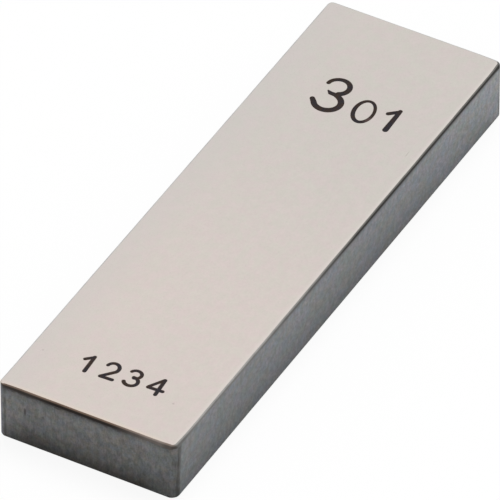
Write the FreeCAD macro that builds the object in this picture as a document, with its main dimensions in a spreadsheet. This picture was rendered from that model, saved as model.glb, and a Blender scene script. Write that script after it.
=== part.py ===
"""Gauge block of 3.01 mm nominal length: one ground and lapped bar of hardened steel.

Frame: the lower measuring face lies on XY, with its centre at the origin, and +Z runs through
the block to the upper measuring face. The 30 mm side lies along Y and the 9 mm side along X.
"""
import FreeCAD, Part
import Sketcher
import math
import os

# ISO 3650 gives blocks up to 10 mm a section of 30 mm (0, -0.3) by 9 mm (-0.05, -0.2). Both sides
# stand in the middle of their limits. All sizes are in millimetres.
DIMENSIONS = (
    ("nominal_length", 3.01, "between the measuring faces: the value of the gauge"),
    ("face_length", 29.85, "long side of a measuring face"),
    ("face_width", 8.875, "short side of a measuring face"),
    ("corner_radius", 0.35, "rounding of the four upright corners"),
    ("edge_radius", 0.12, "rounded edge break round each measuring face"),
)
# Largest share by which the built volume may differ from the worked-out one.
VOLUME_TOLERANCE = 1e-6
# Two heights nearer than this are the same plane.
SAME_PLANE = 1e-6


def add_sheet(doc):
    """The driving dimensions, one alias a row, with what each one measures beside it."""
    sheet = doc.addObject("Spreadsheet::Sheet", "dimensions")
    for row, (alias, value, meaning) in enumerate(DIMENSIONS, start=1):
        sheet.set(f"A{row}", alias)
        sheet.set(f"B{row}", str(value))
        sheet.set(f"C{row}", meaning)
        sheet.setAlias(f"B{row}", alias)
    doc.recompute()
    return sheet


def origin_plane(body, role):
    return next(feature for feature in body.Origin.OriginFeatures if feature.Role == role)


def add_outline(body, sheet):
    """The measuring face's rectangle, symmetric about the origin."""
    outline = body.newObject("Sketcher::SketchObject", "face_outline")
    outline.AttachmentSupport = [(origin_plane(body, "XY_Plane"), "")]
    outline.MapMode = "FlatFace"

    half_width = sheet.face_width / 2
    half_length = sheet.face_length / 2
    corners = [
        FreeCAD.Vector(-half_width, -half_length, 0),
        FreeCAD.Vector(half_width, -half_length, 0),
        FreeCAD.Vector(half_width, half_length, 0),
        FreeCAD.Vector(-half_width, half_length, 0),
    ]
    sides = [
        outline.addGeometry(Part.LineSegment(start, end), False)
        for start, end in zip(corners, corners[1:] + corners[:1])
    ]
    near, right, far, left = sides
    start_point, end_point = 1, 2
    for side, following in zip(sides, sides[1:] + sides[:1]):
        outline.addConstraint(
            Sketcher.Constraint("Coincident", side, end_point, following, start_point)
        )
    for side in (near, far):
        outline.addConstraint(Sketcher.Constraint("Horizontal", side))
    for side in (right, left):
        outline.addConstraint(Sketcher.Constraint("Vertical", side))
    root_point = (-1, 1)
    outline.addConstraint(
        Sketcher.Constraint("Symmetric", near, start_point, right, end_point, *root_point)
    )
    for side, direction, name in ((near, "DistanceX", "width"), (right, "DistanceY", "length")):
        index = outline.addConstraint(
            Sketcher.Constraint(
                direction, side, start_point, side, end_point, sheet.get(f"face_{name}")
            )
        )
        outline.renameConstraint(index, name)
        outline.setExpression(f"Constraints.{name}", f"dimensions.face_{name}")
    return outline


def edge_names(shape, wanted):
    """FreeCAD's names of the edges that pass the test."""
    return [f"Edge{number}" for number, edge in enumerate(shape.Edges, start=1) if wanted(edge)]


def is_upright(edge):
    start, end = edge.Vertexes[0].Point, edge.Vertexes[-1].Point
    return math.hypot(end.x - start.x, end.y - start.y) < SAME_PLANE


def lies_at(height):
    def test(edge):
        box = edge.BoundBox
        return abs(box.ZMin - height) < SAME_PLANE and abs(box.ZMax - height) < SAME_PLANE

    return test


def add_rounding(body, name, base, edges, alias):
    """A fillet of the named edges of base, its radius taken from the sheet."""
    rounding = body.newObject("PartDesign::Fillet", name)
    rounding.Base = (base, edges)
    rounding.setExpression("Radius", f"dimensions.{alias}")
    body.Tip = rounding
    body.Document.recompute()
    return rounding


def add_gauge_block(doc, sheet):
    """The bar is cut to its section, its upright corners are rounded, and then the edge round
    each measuring face is broken, so that the break runs on round the corners."""
    body = doc.addObject("PartDesign::Body", "gauge_block")
    body.Label = "gauge_block"
    blank = body.newObject("PartDesign::Pad", "blank")
    blank.Profile = add_outline(body, sheet)
    blank.setExpression("Length", "dimensions.nominal_length")
    body.Tip = blank
    doc.recompute()

    uprights = edge_names(blank.Shape, is_upright)
    corners = add_rounding(body, "upright_corners", blank, uprights, "corner_radius")
    lower_rim = edge_names(corners.Shape, lies_at(0))
    upper_rim = edge_names(corners.Shape, lies_at(sheet.nominal_length))
    rims = lower_rim + upper_rim
    add_rounding(body, "edge_breaks", corners, rims, "edge_radius")
    return body


def expected_volume(sheet):
    """The prism with rounded corners, less what the edge break takes from both rims.

    Along a straight side the break takes a square of edge_radius less its quarter circle. Round
    a corner the same section turns about the corner's axis, by Pappus's theorem.
    """
    corner, edge = sheet.corner_radius, sheet.edge_radius
    section = sheet.face_width * sheet.face_length - (4 - math.pi) * corner**2
    straight = 2 * (sheet.face_width + sheet.face_length - 4 * corner)
    taken = (1 - math.pi / 4) * edge**2
    square_moment = edge**2 * (corner - edge / 2)
    quarter_moment = math.pi / 4 * edge**2 * (corner - edge) + edge**3 / 3
    around_corners = 2 * math.pi * (square_moment - quarter_moment)
    return section * sheet.nominal_length - 2 * (straight * taken + around_corners)


def check(doc, body, sheet):
    """Stops the build where a feature failed or the solid isn't the one worked out."""
    failed = [o.Name for o in doc.Objects if {"Invalid", "Error"} & set(o.State)]
    if failed:
        raise RuntimeError(f"features failed: {failed}")
    shape = body.Shape
    if shape.isNull() or not shape.isValid() or len(shape.Solids) != 1:
        raise RuntimeError(f"{body.Label} isn't one valid solid")
    expected = expected_volume(sheet)
    if abs(shape.Volume - expected) > VOLUME_TOLERANCE * expected:
        raise RuntimeError(f"{body.Label} holds {shape.Volume} mm3, not {expected}")


def main():
    doc = FreeCAD.newDocument("gauge_block_model")
    sheet = add_sheet(doc)
    body = add_gauge_block(doc, sheet)
    doc.recompute()
    check(doc, body, sheet)
    os.makedirs("parts", exist_ok=True)
    body.Shape.exportStep(f"parts/{body.Label}.step")


main()
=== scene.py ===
"""Looks of a 3.01 mm gauge block: its finish, its stoned edges and its engraved marking."""
import math

import bpy
import numpy as np
from mathutils import Matrix, Vector, noise
from mathutils.geometry import delaunay_2d_cdt


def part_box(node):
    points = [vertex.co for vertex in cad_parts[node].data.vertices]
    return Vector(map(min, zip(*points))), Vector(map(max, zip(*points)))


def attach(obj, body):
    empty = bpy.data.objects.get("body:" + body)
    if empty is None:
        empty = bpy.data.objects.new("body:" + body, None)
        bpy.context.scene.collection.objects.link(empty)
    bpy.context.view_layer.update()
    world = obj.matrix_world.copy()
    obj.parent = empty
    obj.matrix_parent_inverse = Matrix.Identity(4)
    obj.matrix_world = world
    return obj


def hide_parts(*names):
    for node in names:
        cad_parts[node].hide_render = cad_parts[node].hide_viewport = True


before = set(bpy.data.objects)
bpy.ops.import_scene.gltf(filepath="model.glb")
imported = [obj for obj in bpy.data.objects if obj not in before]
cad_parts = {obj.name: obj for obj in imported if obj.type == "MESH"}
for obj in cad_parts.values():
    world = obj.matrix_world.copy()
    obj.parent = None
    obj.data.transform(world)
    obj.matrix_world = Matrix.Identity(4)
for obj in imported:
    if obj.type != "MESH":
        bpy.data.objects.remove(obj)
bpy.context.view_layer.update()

MM = 0.001
NODE = "gauge_block"
_, HIGH_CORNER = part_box(NODE)
HALF_WIDTH, HALF_LENGTH, TOP = (reach / MM for reach in HIGH_CORNER)


# ---------------------------------------------------------------- the marking's strokes
#
# All in millimetres, in the line's own axes: across to the right, and up from the baseline.
# A stroke is a list of (across, up, half of its width), and its ends are round.

ARC_STEP = math.radians(6)


def arc(centre, radii, start, end, half_start, half_end=None, tilt=0):
    """A stroke along an ellipse's arc, from start to end in degrees, anticlockwise if they grow."""
    half_end = half_start if half_end is None else half_end
    first, last, turn = math.radians(start), math.radians(end), math.radians(tilt)
    steps = max(2, math.ceil(abs(last - first) / ARC_STEP))
    stroke = []
    for step in range(steps + 1):
        share = step / steps
        angle = first + (last - first) * share
        across, up = radii[0] * math.cos(angle), radii[1] * math.sin(angle)
        stroke.append((
            centre[0] + across * math.cos(turn) - up * math.sin(turn),
            centre[1] + across * math.sin(turn) + up * math.cos(turn),
            half_start + (half_end - half_start) * share,
        ))
    return stroke


def line(start, end, half_start, half_end=None):
    return [(*start, half_start), (*end, half_start if half_end is None else half_end)]


# The nominal length, 3.01 mm, is marked as a large 3 with a small 01 beside it.
LARGE_THREE = [
    arc((0.87, 1.84), (0.55, 0.50), 174, 90, 0.108, 0.122),
    arc((0.87, 1.84), (0.50, 0.50), 90, -65, 0.122, 0.150),
    [(0.56, 1.41, 0.050), (0.70, 1.30, 0.122), (0.99, 1.28, 0.137), (1.15, 1.20, 0.142)],
    arc((0.86, 0.69), (0.63, 0.58), 60, -70, 0.148, 0.163),
    arc((0.86, 0.69), (0.62, 0.58), 290, 212, 0.160, 0.142),
    line((0.33, 0.40), (0.155, 0.61), 0.142, 0.125),
]
SMALL_ZERO = [
    arc((0.56, 0.82), (0.455, 0.75), 0, 90, 0.082, 0.086, tilt=5),
    arc((0.56, 0.82), (0.455, 0.75), 90, 180, 0.086, 0.108, tilt=5),
    arc((0.56, 0.82), (0.455, 0.75), 180, 300, 0.108, 0.100, tilt=5),
    arc((0.56, 0.82), (0.455, 0.75), 300, 360, 0.100, 0.082, tilt=5),
]
SMALL_ONE = [
    line((0.535, 1.57), (0.505, 0.12), 0.110, 0.145),
    line((0.12, 1.18), (0.46, 1.46), 0.115),
]
# The block's own number is left out. A plain 1234 of the same size stands in its place.
ONE = [
    line((0.50, 1.12), (0.50, 0.10), 0.095, 0.105),
    line((0.17, 0.82), (0.46, 1.06), 0.095),
]
TWO = [
    arc((0.41, 0.82), (0.29, 0.31), 165, -35, 0.090, 0.100),
    line((0.64, 0.63), (0.14, 0.12), 0.100, 0.095),
    line((0.14, 0.11), (0.72, 0.11), 0.100),
]
THREE = [
    arc((0.38, 0.88), (0.27, 0.25), 155, -85, 0.090, 0.095),
    arc((0.38, 0.39), (0.32, 0.29), 90, -155, 0.095, 0.100),
]
FOUR = [
    line((0.58, 1.10), (0.60, 0.08), 0.100),
    line((0.56, 1.10), (0.10, 0.43), 0.090),
    line((0.10, 0.39), (0.80, 0.39), 0.100),
]
SERIAL = (ONE, TWO, THREE, FOUR)
SERIAL_INSET = 0.02
SERIAL_PITCH = 1.12
# Each line: its start on the face, its turn in degrees, its depth, and (glyph, place along it).
MARKING = [
    {
        "start": (-1.95, 7.92), "turn": 2.1, "depth": 0.030,
        "glyphs": [(LARGE_THREE, 0), (SMALL_ZERO, 2.08), (SMALL_ONE, 3.55)],
    },
    {
        "start": (-2.05, -12.55), "turn": 2.9, "depth": 0.022,
        "glyphs": [
            (glyph, SERIAL_INSET + SERIAL_PITCH * place) for place, glyph in enumerate(SERIAL)
        ],
    },
]
# The engraving's walls slope over FLANK's width. No outline is drawn in closer than LEAST_HALF to
# its stroke's middle, and each round end has CAP_STEPS sides.
FLANK = 0.035
LEAST_HALF = 0.01
CAP_STEPS = 8


def placed_strokes():
    """Every stroke of the marking on the face, as (points, half widths, depth)."""
    placed = []
    for text in MARKING:
        cos, sin = math.cos(math.radians(text["turn"])), math.sin(math.radians(text["turn"]))
        for glyph, offset in text["glyphs"]:
            for stroke in glyph:
                points = [
                    (
                        text["start"][0] + (across + offset) * cos - up * sin,
                        text["start"][1] + (across + offset) * sin + up * cos,
                    )
                    for across, up, _ in stroke
                ]
                halves = np.array([half for *_, half in stroke])
                placed.append((np.array(points), halves, text["depth"]))
    return placed


def outline_of(points, halves, inset):
    """The closed outline of a round-ended stroke, drawn in by inset."""
    along = np.gradient(points, axis=0)
    along /= np.linalg.norm(along, axis=1)[:, None]
    side = np.stack([-along[:, 1], along[:, 0]], 1)
    reach = np.maximum(halves - inset, LEAST_HALF)[:, None]
    caps = []
    for end, sign in ((-1, 1), (0, -1)):
        start = math.atan2(*(sign * side[end])[::-1])
        angles = start - np.linspace(0, math.pi, CAP_STEPS + 1)[1:-1]
        caps.append(points[end] + reach[end] * np.stack([np.cos(angles), np.sin(angles)], 1))
    return np.concatenate([points + side * reach, caps[0], (points - side * reach)[::-1], caps[1]])


def recess(places, strokes):
    """How deep the marking is at each place, and how far inside a stroke it lies, if above 0."""
    inside = np.full(len(places), -np.inf)
    depth = np.zeros(len(places))
    for points, halves, full in strokes:
        for start, end, half_start, half_end in zip(points, points[1:], halves, halves[1:]):
            run = end - start
            share = np.clip((places - start) @ run / (run @ run), 0, 1)
            gap = np.linalg.norm(places - start - share[:, None] * run, axis=1)
            here = half_start + (half_end - half_start) * share - gap
            depth = np.maximum(depth, full * np.clip(here / FLANK, 0, 1))
            inside = np.maximum(inside, here)
    return depth, inside


# ---------------------------------------------------------------- the block's form
#
# In millimetres. Each upright corner is rounded on a stone, and is named by its side and its end.

CORNERS = ((1, 1), (-1, 1), (-1, -1), (1, -1))
CORNER_RADIUS = {(1, 1): 0.35, (-1, 1): 0.30, (-1, -1): 0.285, (1, -1): 0.38}

# The edge break was stoned by hand: its radius by the way that it faces, anticlockwise from the
# right, straight and half way round each corner. The upper one also swells towards the two right
# corners, and narrows towards the front left one.
UPPER_BREAK = {
    (1, 0): 0.112, (1, 1): 0.070, (0, 1): 0.080, (-1, 1): 0.055,
    (-1, 0): 0.080, (-1, -1): 0.055, (0, -1): 0.135, (1, -1): 0.085,
}
LOWER_BREAK = {
    (1, 0): 0.100, (1, 1): 0.090, (0, 1): 0.100, (-1, 1): 0.055,
    (-1, 0): 0.100, (-1, -1): 0.110, (0, -1): 0.065, (1, -1): 0.100,
}
UPPER_SWELL = {(1, 1): 0.055, (-1, 1): 0.0, (-1, -1): -0.035, (1, -1): 0.055}
SWELL_REACH = 0.6
BREAK_WOBBLE = 0.010
WOBBLE_LENGTH = 1.5
CORNER_STEPS = 14
BREAK_STEPS = 8
SIDE_STEP = 0.4
WALL_LEVELS = (0.35, 1.20, 2.00, 2.70)
# The surfaces, by their place among the block's materials.
LAPPED, SIDE, END, BREAK, FILL = range(5)
# For the marked face: triangles only inside its rim, how near two places are the same one, and
# how many digits level heights share.
INSIDE_ONLY = 1
SAME_PLACE = 1e-5
HEIGHT_DIGITS = 4


def plan():
    """The block's outline: (point, outward direction, kind of surface beside)."""
    places = []
    for quarter, (side, end) in enumerate(CORNERS):
        radius = CORNER_RADIUS[side, end]
        centre = Vector((side * (HALF_WIDTH - radius), end * (HALF_LENGTH - radius), 0))
        for step in range(CORNER_STEPS + 1):
            angle = math.radians(90) * (quarter + step / CORNER_STEPS)
            outward = Vector((math.cos(angle), math.sin(angle), 0))
            kind = END if step < CORNER_STEPS or quarter % 2 == 0 else SIDE
            places.append((centre + radius * outward, outward, kind))
        next_radius = CORNER_RADIUS[CORNERS[(quarter + 1) % 4]]
        full_length = 2 * (HALF_WIDTH, HALF_LENGTH)[quarter % 2]
        steps = round(full_length / SIDE_STEP)
        run = Vector((-outward.y, outward.x, 0)) * (full_length - radius - next_radius)
        point = places[-1][0]
        places += [(point + run * (step / steps), outward, kind) for step in range(1, steps)]
    return places


def break_radius(point, outward, radii):
    """The edge break's radius where the edge faces outward, with a slow wobble."""
    side, end = math.copysign(1, point.x), math.copysign(1, point.y)
    straight = radii[math.copysign(1, outward.x), 0] * outward.x ** 2
    straight += radii[0, math.copysign(1, outward.y)] * outward.y ** 2
    round_corner = (2 * outward.x * outward.y) ** 2
    radius = straight + (radii[side, end] - straight) * round_corner
    if radii is UPPER_BREAK:
        away = (point - Vector((side * HALF_WIDTH, end * HALF_LENGTH, 0))).length
        radius += UPPER_SWELL[side, end] * math.exp(-(away / SWELL_REACH) ** 2)
    return radius + BREAK_WOBBLE * (1 - round_corner) * noise.noise(point / WOBBLE_LENGTH)


class Skin:
    """The growing mesh: its vertices, and its faces with a surface and a normal for each corner."""

    def __init__(self):
        self.vertices = []
        self.faces = []
        self.surfaces = []
        self.normals = []

    def ring(self, points):
        first = len(self.vertices)
        self.vertices += points
        return list(range(first, len(self.vertices)))

    def face(self, corners, surface, normals):
        self.faces.append(corners)
        self.surfaces.append(surface)
        self.normals += normals

    def band(self, lower, upper, surfaces):
        """Quads between two rings, each a pair of its vertices and their normals."""
        for here, surface in enumerate(surfaces):
            after = (here + 1) % len(surfaces)
            corners = ((lower, here), (lower, after), (upper, after), (upper, here))
            normals = [ring[1][i] for ring, i in corners]
            self.face([ring[0][i] for ring, i in corners], surface, normals)

    def mesh(self, name):
        made = bpy.data.meshes.new(name)
        made.from_pydata([tuple(v * MM) for v in self.vertices], [], self.faces)
        made.polygons.foreach_set("use_smooth", [True] * len(self.faces))
        made.polygons.foreach_set("material_index", self.surfaces)
        made.normals_split_custom_set([tuple(n) for n in self.normals])
        made.update()
        return made


def add_break(skin, outline, radii, face_height, up):
    """The rings of one edge break, from the side to the measuring face, which faces up, 1 or -1."""
    rings = []
    for step in range(BREAK_STEPS + 1):
        angle = math.radians(90) * step / BREAK_STEPS
        points, normals = [], []
        for point, outward, _ in outline:
            radius = break_radius(point, outward, radii)
            drop = Vector((0, 0, face_height - up * radius * (1 - math.sin(angle))))
            points.append(point - outward * (radius * (1 - math.cos(angle))) + drop)
            normals.append(outward * math.cos(angle) + Vector((0, 0, up)) * math.sin(angle))
        rings.append((skin.ring(points), normals))
    return rings


def add_walls(skin, outline):
    """The upright rings between the two edge breaks."""
    rings = []
    for height in WALL_LEVELS:
        points = [point + Vector((0, 0, height)) for point, *_ in outline]
        rings.append((skin.ring(points), [outward for _, outward, _ in outline]))
    return rings


def add_marked_face(skin, ring):
    """The upper measuring face, with the marking sunk into it."""
    strokes = placed_strokes()
    rim = np.array([skin.vertices[index][:2] for index in ring])
    loops = [rim]
    for points, halves, _ in strokes:
        loops += [outline_of(points, halves, 0), outline_of(points, halves, FLANK)]
    starts = np.cumsum([0] + [len(loop) for loop in loops])
    edges = [
        (start + here, start + (here + 1) % len(loop))
        for loop, start in zip(loops, starts)
        for here in range(len(loop))
    ]
    inputs = [Vector(point) for point in np.concatenate(loops)]
    points, _, triangles, origins, _, _ = delaunay_2d_cdt(inputs, edges, [], INSIDE_ONLY, SAME_PLACE)
    places = np.array([tuple(point) for point in points])
    depth, _ = recess(places, strokes)
    _, centre_inside = recess(np.array([places[t].mean(0) for t in triangles]), strokes)
    index = []
    for place, deep, origin in zip(places, depth, origins):
        on_rim = [i for i in origin if i < len(rim)]
        if on_rim:
            index.append(ring[on_rim[0]])
        else:
            index += skin.ring([Vector((*place, TOP - deep))])
    up = Vector((0, 0, 1))
    for triangle, inside in zip(triangles, centre_inside):
        corners = [index[i] for i in triangle]
        heights = {round(skin.vertices[i].z, HEIGHT_DIGITS) for i in corners}
        a, b, c = (skin.vertices[i] for i in corners)
        normal = up if len(heights) == 1 else (b - a).cross(c - a).normalized()
        skin.face(corners, FILL if inside > 0 else LAPPED, [normal] * 3)


def build_block():
    skin = Skin()
    outline = plan()
    kinds = [kind for *_, kind in outline]
    lower = add_break(skin, outline, LOWER_BREAK, 0, -1)
    walls = add_walls(skin, outline)
    upper = add_break(skin, outline, UPPER_BREAK, TOP, 1)
    breaks = [BREAK] * len(outline)
    for outer, inner in zip(lower, lower[1:]):
        skin.band(inner, outer, breaks)
    levels = [lower[0], *walls, upper[0]]
    for below, above in zip(levels, levels[1:]):
        skin.band(below, above, kinds)
    for outer, inner in zip(upper, upper[1:]):
        skin.band(outer, inner, breaks)
    bottom = lower[-1][0][::-1]
    skin.face(bottom, LAPPED, [Vector((0, 0, -1))] * len(bottom))
    add_marked_face(skin, upper[-1][0])
    block = bpy.data.objects.new("engraved_block", skin.mesh("engraved_block"))
    bpy.context.scene.collection.objects.link(block)
    return block


# ---------------------------------------------------------------- materials

def srgb(*levels):
    """A colour given as it shows on a screen, from 0 to 255, as the shader's linear values."""
    shares = [level / 255 for level in levels]
    return [s / 12.92 if s <= 0.04045 else ((s + 0.055) / 1.055) ** 2.4 for s in shares] + [1]


LAPPED_ROSE = srgb(215.5, 203, 198.5)
LAPPED_YELLOW = srgb(212.5, 205, 197)
LAPPED_BY_LEFT = srgb(203, 199, 196)
# Painted highlights along the lapped face's front and right edges.
LAPPED_FRONT_HIGHLIGHT = srgb(228, 212, 196)
LAPPED_RIGHT_HIGHLIGHT = srgb(223, 217, 211)
LAPPED_SPECK = srgb(120, 112, 108)
SIDE_BLUE = srgb(121, 129, 138)
SIDE_VIOLET = srgb(132.5, 130, 138)
END_BLUE = srgb(102, 105, 109)
END_ROSE = srgb(107, 104, 106)
# Painted shade just under the upper edge break, on the side and the end.
UNDER_EDGE_SHADE = srgb(56, 54, 52)
UNDER_FRONT_SHADE = srgb(44, 40, 40)
LINE_BY_SIDE = srgb(48, 47, 44)
LINE_BY_END = srgb(50, 50, 48)
NICK_BLACK = srgb(50, 46, 44)
EDGE_PALE = srgb(192, 190, 189)
EDGE_LOWER = srgb(92, 92, 92)
# Lower down on the upper edge break, and at its crest. Along the front and the right they are
# painted dark reflection, lighter at the crest.
EDGE_PALE_RIGHT = (srgb(122, 121, 119), srgb(168, 166, 163))
EDGE_PALE_FRONT = (srgb(106, 99, 95), srgb(146, 136, 130))
EDGE_DARK_REFLECTION = (srgb(50, 49, 47), srgb(120, 118, 114))
EDGE_BROWN_REFLECTION = (srgb(36, 32, 29), srgb(117, 98, 85))
FILL_BROWN = srgb(52, 40, 34)
FILL_GREY = srgb(40, 37, 42)
FILL_WORN = srgb(92, 74, 70)
FILL_RIM = srgb(140, 128, 120)

# What a colour is multiplied by.
LAPPED_BACK_TINT = (0.935, 0.965, 0.970)
SIDE_YELLOW_TINT = (1.0, 1.0, 0.82)
END_YELLOW_TINT = (1.0, 1.0, 0.86)
# Painted shade at the end's foot.
END_FOOT_SHADE_TINT = (0.69, 0.66, 0.63)
# Painted shade on the right upright corners, except near their top.
END_RIGHT_SHADE_TINT = (0.75, 0.75, 0.74)
# Painted reflection on the left upright corners, bluer and darker.
END_LEFT_REFLECTION_TINT = (0.66, 0.71, 0.82)

# A grain's values stand about 0.5. A roughness reaches its ends at the first pair, and a shade at
# the second.
GRAIN_LOW, GRAIN_HIGH = 0.30, 0.70
GRAIN_LEAST, GRAIN_MOST = 0.28, 0.72


class Nodes:
    """A node tree. Each method adds one node, or a few, and returns the socket that it gives."""

    def __init__(self, tree):
        self.tree = tree
        self.tree.nodes.clear()

    def node(self, kind, inputs=None, output=0, **settings):
        made = self.tree.nodes.new("ShaderNode" + kind)
        for name, value in settings.items():
            setattr(made, name, value)
        for key, value in (inputs or {}).items():
            if isinstance(value, bpy.types.NodeSocket):
                self.tree.links.new(value, made.inputs[key])
            else:
                made.inputs[key].default_value = value
        return made.outputs[output]

    def finish(self, kind, surface):
        out = self.tree.nodes.new("ShaderNodeOutput" + kind)
        self.tree.links.new(surface, out.inputs["Surface"])

    def math(self, operation, first, second=0.0):
        return self.node("Math", {0: first, 1: second}, operation=operation)

    def remap(self, value, low, high, to_low=0.0, to_high=1.0):
        """The value, with low to high stretched to to_low to to_high and eased at both ends."""
        inputs = {0: value, 1: low, 2: high, 3: to_low, 4: to_high}
        return self.node("MapRange", inputs, interpolation_type="SMOOTHSTEP")

    def mix(self, share, first, second):
        return self.node("Mix", {0: share, 6: first, 7: second}, output=2, data_type="RGBA")

    def scaled(self, colour, *factors):
        """The colour made darker or lighter by each factor."""
        for factor in factors:
            colour = self.node("VectorMath", {0: colour, "Scale": factor}, operation="SCALE")
        return colour


class Shader(Nodes):
    """A material of the block. Its x, y and z are millimetres in the block's own frame."""

    def __init__(self, name):
        self.material = bpy.data.materials.new(name)
        self.material.use_nodes = True
        super().__init__(self.material.node_tree)
        place = self.node("TexCoord", output="Object")
        self.place = self.node("VectorMath", {0: place, "Scale": 1 / MM}, operation="SCALE")
        split = self.tree.nodes.new("ShaderNodeSeparateXYZ")
        self.tree.links.new(self.place, split.inputs[0])
        self.x, self.y, self.z = split.outputs

    def grain(self, size, seed=0.0, detail=2.0, roughness=0.5):
        """Noise whose blots measure size = (x, y, z) in millimetres."""
        scale = [1 / s for s in size]
        place = self.node("Mapping", {"Vector": self.place, "Scale": scale, "Location": [seed] * 3})
        return self.node(
            "TexNoise", {"Vector": place, "Scale": 1.0, "Detail": detail, "Roughness": roughness}
        )

    def shade(self, grain, amount):
        """A grain as a factor, from 1 - amount to 1 + amount."""
        return self.remap(grain, GRAIN_LEAST, GRAIN_MOST, 1 - amount, 1 + amount)

    def tinted(self, colour, share, tint):
        """The colour, with a share of it multiplied by the tint."""
        product = self.node("VectorMath", {0: colour, 1: tint}, operation="MULTIPLY")
        return self.mix(share, colour, product)

    def near(self, value, centre, half, fade):
        """1 where the value is within half of the centre, and 0 from fade further out."""
        away = self.math("ABSOLUTE", self.math("SUBTRACT", value, centre))
        return self.remap(away, half, half + fade, 1.0, 0.0)

    def spot(self, centre, size):
        """1 at the centre, and 0 outside an ellipsoid of half axes size."""
        away = self.node("VectorMath", {0: self.place, 1: centre}, operation="SUBTRACT")
        away = self.node("VectorMath", {0: away, 1: [1 / s for s in size]}, operation="MULTIPLY")
        length = self.node("VectorMath", {0: away}, output=1, operation="LENGTH")
        return self.remap(length, 0.3, 1.0, 1.0, 0.0)

    def spotted(self, colour, spots, dark):
        """The colour with dark spots on it, each given as (centre, half axes, strength)."""
        for centre, size, strength in spots:
            share = self.math("MULTIPLY", self.spot(centre, size), strength)
            colour = self.mix(share, colour, dark)
        return colour

    def along(self, value, stops):
        """A level that goes through the stops, (place, level from 0 to 1), as the value grows."""
        low, high = stops[0][0], stops[-1][0]
        ramp = self.tree.nodes.new("ShaderNodeValToRGB")
        ramp.color_ramp.interpolation = "EASE"
        elements = ramp.color_ramp.elements
        while len(elements) < len(stops):
            elements.new(1.0)
        for element, (place, level) in zip(elements, stops):
            element.position = (place - low) / (high - low)
            element.color = (level, level, level, 1)
        inputs = {0: value, 1: low, 2: high}
        self.tree.links.new(self.node("MapRange", inputs), ramp.inputs[0])
        return ramp.outputs[0]

    def bump(self, height, depth):
        """Relief from a height of 0 to 1, depth in millimetres."""
        return self.node("Bump", {"Height": height, "Strength": 1.0, "Distance": depth * MM})

    def metal(self, colour, grain, roughness, normal):
        """A metal whose roughness goes from the first to the second value with a grain."""
        roughness = self.remap(grain, GRAIN_LOW, GRAIN_HIGH, *roughness)
        surface = self.node(
            "BsdfPrincipled",
            {"Base Color": colour, "Metallic": 1.0, "Roughness": roughness, "Normal": normal},
        )
        self.finish("Material", surface)
        return self.material


# How much painted dark reflection the upper edge break has along the front by x, how much painted
# shade the end has just under it, and how much painted dark reflection the edge break has along the
# right by y.
EDGE_SHADE_ALONG_FRONT = [
    (-4.44, 0.2), (-4.26, 0.75), (-4.0, 0.86), (-3.0, 0.90), (-1.6, 1.0), (1.2, 1.0),
    (1.8, 0.75), (2.4, 0.5), (3.2, 0.3), (3.6, 0.2), (4.0, 0.55), (4.4, 0.25),
]
SHADE_UNDER_FRONT = [
    (-4.44, 0.3), (-4.1, 1.0), (1.4, 1.0), (2.4, 0.5), (3.1, 0.3),
    (3.5, 0.5), (4.0, 0.9), (4.2, 0.3), (4.4, 0.3),
]
EDGE_SHADE_ALONG_RIGHT = [
    (-15, 0.5), (-14.2, 0.35), (-13, 0.05), (-8, 0.1),
    (-5, 0.4), (-1, 0.7), (1.5, 1.0), (15, 1.0),
]
# How much of its brightness the long side has, along it by y, painted light growing towards the
# back, and up from its foot by z, painted shade darker towards the foot.
SIDE_PAINTED_LIGHT_ALONG = [(-15, 0.72), (-10, 0.72), (-4, 0.77), (3, 0.77), (7, 0.84), (11, 0.96), (15, 1.0)]
SIDE_PAINTED_SHADE_UPWARD = [
    (0.3, 0.76), (0.7, 0.785), (1.0, 0.825), (1.4, 0.86), (1.8, 0.905), (2.2, 0.97), (2.6, 1.0),
]
# How much of the painted shade at its foot the end has, up from its foot by z.
END_FOOT_SHADE_UPWARD = [(0.15, 1.0), (0.5, 0.58), (0.8, 0.25), (1.1, 0.13), (1.5, 0.09), (2.0, 0.0)]
# How much painted shade the side and the end have just under the upper edge break, up to it by z.
SHADE_UNDER_EDGE_OF_SIDE = [(TOP - 0.30, 0.0), (TOP - 0.20, 0.33), (TOP - 0.10, 0.90)]
SHADE_UNDER_EDGE_AT_BACK = [(TOP - 0.60, 0.0), (TOP - 0.35, 0.30), (TOP - 0.10, 0.95)]
SHADE_UNDER_EDGE_OF_FRONT = [(TOP - 0.50, 0.0), (TOP - 0.30, 0.25), (TOP - 0.12, 1.0)]
# How much of its painted highlight the lapped face's front strip has, by x.
FRONT_HIGHLIGHT_STRIP = [(-4.4, 0.25), (-3.4, 0.45), (3.2, 0.5), (4.1, 0.0)]

# Each spot: its centre, its half axes and its strength.
SPECKS = (
    ((2.90, -12.40, TOP), (0.09, 0.09, 1), 0.22),
    ((-3.80, -12.10, TOP), (0.07, 0.07, 1), 0.20),
    ((3.75, 7.20, TOP), (0.035, 0.28, 1), 0.22),
)
NICKS = (
    ((-3.09, -HALF_LENGTH, 1.90), (0.09, 0.3, 0.30), 0.65),
    ((-2.18, -HALF_LENGTH, 1.93), (0.09, 0.3, 0.11), 0.4),
)
WORN_FILL = ((1.12, 8.42, TOP), (0.26, 0.30, 1), 0.7)

# How far from the end the line on the side stands, at its foot and at its top, and how far from
# the side the line on the end stands.
LINE_FROM_END = (0.26, 0.41)
LINE_FROM_SIDE = 0.33


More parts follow.
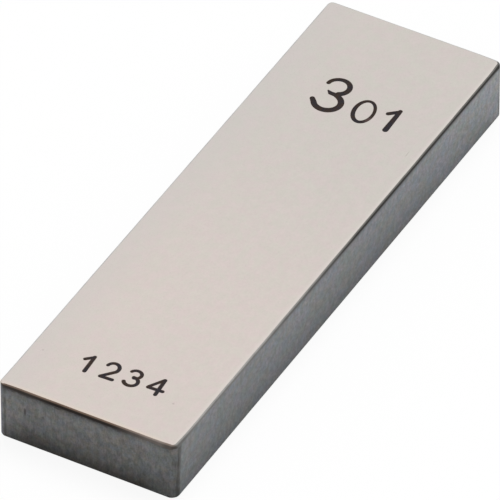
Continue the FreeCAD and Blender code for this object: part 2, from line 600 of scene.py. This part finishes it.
def corner_lines(s):
    """The thin dark lines where an upright corner's rounding ends, on the side and on the end."""
    from_end = s.math("SUBTRACT", HALF_LENGTH, s.math("ABSOLUTE", s.y))
    place = s.remap(s.z, 0.2, 2.9, *LINE_FROM_END)
    line = s.near(s.math("SUBTRACT", from_end, place), 0.0, 0.075, 0.09)
    uneven = s.remap(s.grain((0.2, 0.2, 0.35), seed=4.4), 0.3, 0.6, 0.6, 1.0)
    line = s.math("MULTIPLY", line, uneven)
    at_front = s.math("MULTIPLY", s.remap(s.y, 1.0, -1.0), s.remap(s.z, 1.4, 2.2, 0.55, 0.90))
    at_back = s.math("MULTIPLY", s.remap(s.y, -1.0, 1.0), s.remap(s.z, 1.6, 0.9, 0.0, 0.50))
    by_side = s.math("MULTIPLY", line, s.math("ADD", at_front, at_back))
    from_side = s.math("SUBTRACT", HALF_WIDTH, s.math("ABSOLUTE", s.x))
    by_end = s.near(from_side, LINE_FROM_SIDE, 0.02, 0.07)
    by_end = s.math("MULTIPLY", by_end, s.remap(s.x, -1.0, 1.0, 0.45, 0.10))
    by_end = s.math("MULTIPLY", by_end, uneven)
    return by_side, by_end


def lapped_steel():
    """A measuring face: a soft mirror, faintly clouded, with lapping marks, a few specks, and
    painted highlights along its front and right edges.
    """
    s = Shader("lapped_steel")
    hue = s.grain((0.60, 0.70, 1.0), seed=3.1, detail=3.0, roughness=0.6)
    cloud = s.grain((0.45, 0.50, 1.0), seed=7.3, detail=4.0, roughness=0.6)
    speckle = s.grain((0.07, 0.09, 1.0), seed=5.5, detail=1.0)
    colour = s.mix(s.remap(hue, 0.34, 0.66), LAPPED_ROSE, LAPPED_YELLOW)
    colour = s.scaled(colour, s.shade(cloud, 0.012), s.shade(speckle, 0.012))
    colour = s.tinted(colour, s.remap(s.y, -8.0, 8.0), LAPPED_BACK_TINT)
    colour = s.mix(s.remap(s.x, -4.6, -2.0, 0.35, 0.0), colour, LAPPED_BY_LEFT)
    # Painted highlights in strips along the front and the right edges.
    front = s.remap(s.y, 0.38 - HALF_LENGTH, 0.16 - HALF_LENGTH)
    front = s.math("MULTIPLY", front, s.along(s.x, FRONT_HIGHLIGHT_STRIP))
    colour = s.mix(front, colour, LAPPED_FRONT_HIGHLIGHT)
    right = s.remap(s.x, HALF_WIDTH - 0.35, HALF_WIDTH - 0.12)
    colour = s.mix(s.math("MULTIPLY", right, 0.5), colour, LAPPED_RIGHT_HIGHLIGHT)
    colour = s.spotted(colour, SPECKS, LAPPED_SPECK)
    marks = s.grain((0.05, 1.6, 0.05), seed=8.0, detail=3.0)
    return s.metal(colour, cloud, (0.18, 0.20), s.bump(marks, 0.00004))


def ground_side():
    """A long side: fine ground, a little clouded, with painted shade darker at its foot and painted
    light brighter at the back.
    """
    s = Shader("ground_side")
    hue = s.grain((0.55, 0.70, 0.45), seed=5.0, detail=3.0, roughness=0.6)
    yellow = s.grain((0.65, 0.80, 0.50), seed=1.7, detail=4.0, roughness=0.65)
    cloud = s.grain((0.34, 0.25, 0.30), seed=11.0, detail=5.0, roughness=0.68)
    speckle = s.grain((0.08, 0.09, 0.07), seed=2.0, detail=2.0)
    streak = s.grain((0.10, 1.4, 0.07), seed=6.0, detail=3.0)
    colour = s.mix(s.remap(hue, 0.37, 0.63), SIDE_BLUE, SIDE_VIOLET)
    colour = s.tinted(colour, s.remap(yellow, 0.35, 0.65), SIDE_YELLOW_TINT)
    # Painted light brighter towards the back, and painted shade darker towards the foot.
    levels = s.along(s.y, SIDE_PAINTED_LIGHT_ALONG), s.along(s.z, SIDE_PAINTED_SHADE_UPWARD)
    grains = s.shade(cloud, 0.23), s.shade(speckle, 0.14), s.shade(streak, 0.03)
    colour = s.scaled(colour, *levels, *grains)
    right = s.remap(s.x, 0.0, 1.0)
    # Painted shade just under the right's upper edge break.
    rim = s.along(s.z, SHADE_UNDER_EDGE_OF_SIDE)
    rim = s.math("MULTIPLY", s.math("MULTIPLY", rim, right), s.along(s.y, EDGE_SHADE_ALONG_RIGHT))
    colour = s.mix(rim, colour, UNDER_EDGE_SHADE)
    by_side, _ = corner_lines(s)
    colour = s.mix(by_side, colour, LINE_BY_SIDE)
    return s.metal(colour, streak, (0.28, 0.34), s.bump(speckle, 0.0004))


def ground_end():
    """An end and the upright corners: coarser ground, darker, blotched, with painted shade darkest
    at its foot and under the upper edge break.
    """
    s = Shader("ground_end")
    hue = s.grain((0.4, 0.4, 0.4), seed=7.0, detail=3.0, roughness=0.6)
    yellow = s.grain((0.42, 0.42, 0.42), seed=6.6, detail=4.0, roughness=0.65)
    large = s.grain((0.9, 0.9, 0.9), seed=2.6, detail=2.0)
    blotch = s.grain((0.28, 0.28, 0.34), seed=4.0, detail=5.0, roughness=0.68)
    speckle = s.grain((0.06, 0.06, 0.09), seed=9.0, detail=2.0)
    streak = s.grain((0.08, 0.08, 0.36), seed=1.0, detail=3.0)
    colour = s.mix(s.remap(hue, 0.35, 0.65), END_BLUE, END_ROSE)
    colour = s.tinted(colour, s.remap(yellow, 0.35, 0.65), END_YELLOW_TINT)
    grains = (
        s.shade(large, 0.05), s.shade(blotch, 0.20), s.shade(speckle, 0.10), s.shade(streak, 0.11),
    )
    colour = s.scaled(colour, *grains)
    # Painted shade at the foot, deepest in the middle of the end.
    middle = s.near(s.x, 0.0, 2.6, 1.4)
    painted_foot_shade = s.along(s.z, END_FOOT_SHADE_UPWARD)
    colour = s.tinted(colour, s.math("MULTIPLY", painted_foot_shade, middle), END_FOOT_SHADE_TINT)
    # Painted shade on the right upright corners, except near their top.
    upright = s.remap(s.z, 2.7, 2.2)
    arc_right = s.remap(s.x, HALF_WIDTH - 0.44, HALF_WIDTH - 0.08)
    colour = s.tinted(colour, s.math("MULTIPLY", arc_right, upright), END_RIGHT_SHADE_TINT)
    # Painted shade just under the upper edge break at the back right.
    back_right = s.math("MULTIPLY", s.remap(s.y, 0.0, 1.0), s.remap(s.x, 0.0, 1.0))
    rim = s.along(s.z, SHADE_UNDER_EDGE_AT_BACK)
    colour = s.mix(s.math("MULTIPLY", rim, back_right), colour, UNDER_EDGE_SHADE)
    # Painted reflection on the left upright corners, bluer and darker.
    arc_left = s.remap(s.x, 0.34 - HALF_WIDTH, 0.05 - HALF_WIDTH)
    colour = s.tinted(colour, arc_left, END_LEFT_REFLECTION_TINT)
    # Painted shade just under the front's upper edge break, with an uneven lower edge.
    uneven = s.math("SUBTRACT", s.math("MULTIPLY", blotch, 0.5), 0.25)
    shade_under_edge = s.along(s.math("ADD", s.z, uneven), SHADE_UNDER_EDGE_OF_FRONT)
    under_front_shade = s.math("MULTIPLY", shade_under_edge, s.along(s.x, SHADE_UNDER_FRONT))
    colour = s.mix(s.math("MULTIPLY", under_front_shade, 0.8), colour, UNDER_FRONT_SHADE)
    colour = s.spotted(colour, NICKS, NICK_BLACK)
    by_side, by_end = corner_lines(s)
    colour = s.mix(by_end, colour, LINE_BY_END)
    colour = s.mix(by_side, colour, LINE_BY_SIDE)
    return s.metal(colour, streak, (0.31, 0.37), s.bump(blotch, 0.0010))


def stoned_edge():
    """The edge break: painted dark reflection, brown along most of the front and near black along
    the right's back half.
    """
    s = Shader("stoned_edge")
    patch = s.grain((0.5, 0.5, 0.4), seed=9.0, detail=3.0)
    front = s.remap(s.y, 0.30 - HALF_LENGTH, 0.16 - HALF_LENGTH)
    right = s.remap(s.x, HALF_WIDTH - 0.30, HALF_WIDTH - 0.17)
    upper = s.remap(s.z, 1.0, 2.0)
    # Painted dark reflection along the front and the right, lighter at the crest.
    painted_front_edge_dark = s.math("MULTIPLY", front, s.along(s.x, EDGE_SHADE_ALONG_FRONT))
    painted_right_edge_dark = s.math("MULTIPLY", right, s.along(s.y, EDGE_SHADE_ALONG_RIGHT))
    crest = s.remap(s.z, TOP - 0.045, TOP - 0.002)
    pale_right = s.mix(crest, *EDGE_PALE_RIGHT)
    pale_front = s.mix(crest, *EDGE_PALE_FRONT)
    pale = s.mix(front, s.mix(right, EDGE_PALE, pale_right), pale_front)
    dark_reflection = s.mix(s.remap(s.z, TOP - 0.035, TOP - 0.003), *EDGE_DARK_REFLECTION)
    colour = s.mix(s.math("MULTIPLY", painted_right_edge_dark, 0.95), pale, dark_reflection)
    brown_reflection = s.mix(crest, *EDGE_BROWN_REFLECTION)
    colour = s.mix(s.math("MULTIPLY", painted_front_edge_dark, 0.95), colour, brown_reflection)
    colour = s.mix(upper, EDGE_LOWER, s.scaled(colour, s.shade(patch, 0.12)))
    return s.metal(colour, patch, (0.36, 0.48), s.bump(patch, 0.001))


def marking_fill():
    """The engraving's dark fill: brown in places, thin at its rim, worn at the 0's lower right."""
    s = Shader("marking_fill")
    patch = s.grain((0.35, 0.35, 0.35), seed=1.0, detail=3.0)
    colour = s.mix(s.remap(patch, 0.38, 0.62), FILL_BROWN, FILL_GREY)
    colour = s.spotted(colour, [WORN_FILL], FILL_WORN)
    colour = s.mix(s.remap(s.z, TOP - 0.022, TOP - 0.001, 0.0, 0.6), colour, FILL_RIM)
    inputs = {"Base Color": colour, "Roughness": 0.6, "Specular IOR Level": 0.15}
    surface = s.node("BsdfPrincipled", inputs)
    s.finish("Material", surface)
    return s.material


# ---------------------------------------------------------------- stage

# The camera stands far off with a long lens, as the nearly parallel edges need.
VIEW_AZIMUTH = math.radians(29.304)
VIEW_ELEVATION = math.radians(40.905)
VIEW_ROLL = math.radians(-0.063)
VIEW_DISTANCE = 503.096 * MM
VIEW_OFFSET = (-0.204 * MM, 0.930 * MM)
LENS = 816.2
SENSOR = 36.0
CLIP = (0.05, 20)


def add_camera():
    back = Vector((
        math.sin(VIEW_AZIMUTH) * math.cos(VIEW_ELEVATION),
        -math.cos(VIEW_AZIMUTH) * math.cos(VIEW_ELEVATION),
        math.sin(VIEW_ELEVATION),
    ))
    right = Vector((math.cos(VIEW_AZIMUTH), math.sin(VIEW_AZIMUTH), 0))
    turn = Matrix.Rotation(VIEW_ROLL, 3, back)
    right = turn @ right
    up = back.cross(right)
    data = bpy.data.cameras.new("camera")
    data.lens = LENS
    data.sensor_width = SENSOR
    data.clip_start, data.clip_end = CLIP
    camera = bpy.data.objects.new("camera", data)
    place = back * VIEW_DISTANCE + right * VIEW_OFFSET[0] + up * VIEW_OFFSET[1]
    camera.matrix_world = Matrix.Translation(place) @ Matrix((right, up, back)).transposed().to_4x4()
    bpy.context.scene.collection.objects.link(camera)
    bpy.context.scene.camera = camera


# The sky and one wide lamp high behind the block share the light. Together they light a level
# white surface so that it shows as white. Metal reflects the sky and the floor but not the lamp,
# because the lapped face would mirror it as plain white when seen from above.
SKY_SHARE = 0.5
LAMP_ELEVATION = math.radians(70)
LAMP_WIDTH = math.radians(34)
FLOOR_OWN_LIGHT = 0.90
FLOOR_REACH = 2.0
FLOOR_CORNERS = ((-1, -1), (1, -1), (1, 1), (-1, 1))


def add_lamp():
    data = bpy.data.lights.new("lamp", "SUN")
    data.angle = LAMP_WIDTH
    data.energy = (1 - SKY_SHARE) * math.pi / math.sin(LAMP_ELEVATION)
    lamp = bpy.data.objects.new("lamp", data)
    lamp.visible_glossy = False
    direction = Vector((0, math.cos(LAMP_ELEVATION), math.sin(LAMP_ELEVATION)))
    lamp.rotation_euler = direction.to_track_quat("Z", "Y").to_euler()
    bpy.context.scene.collection.objects.link(lamp)


def add_floor():
    """A plain white floor. For the camera most of its light is its own, so its shadow is faint."""
    corners = [(side * FLOOR_REACH, end * FLOOR_REACH, 0) for side, end in FLOOR_CORNERS]
    mesh = bpy.data.meshes.new("floor")
    mesh.from_pydata(corners, [], [(0, 1, 2, 3)])
    floor = bpy.data.objects.new("floor", mesh)
    bpy.context.scene.collection.objects.link(floor)
    s = Shader("floor")
    lit = s.node("BsdfDiffuse", {"Color": (1, 1, 1, 1)})
    own = s.node("Emission", {"Color": (1, 1, 1, 1), "Strength": 1.0})
    seen = s.node("LightPath", output="Is Camera Ray")
    share = s.math("MULTIPLY", seen, FLOOR_OWN_LIGHT)
    s.finish("Material", s.node("MixShader", {0: share, 1: lit, 2: own}))
    mesh.materials.append(s.material)


def add_world():
    """An even white sky, which is plain white for the camera, metal and glass."""
    world = bpy.data.worlds.new("studio")
    world.use_nodes = True
    s = Nodes(world.node_tree)
    seen = 0.0
    for ray in ("Is Camera Ray", "Is Glossy Ray", "Is Transmission Ray"):
        seen = s.math("MAXIMUM", s.node("LightPath", output=ray), seen)
    strength = s.remap(seen, 0.0, 1.0, SKY_SHARE, 1.0)
    s.finish("World", s.node("Background", {"Color": (1, 1, 1, 1), "Strength": strength}))
    bpy.context.scene.world = world


block = build_block()
for material in (lapped_steel(), ground_side(), ground_end(), stoned_edge(), marking_fill()):
    block.data.materials.append(material)
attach(block, "root")
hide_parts(NODE)

add_camera()
add_floor()
add_world()
add_lamp()
bpy.context.scene.view_settings.view_transform = "Standard"
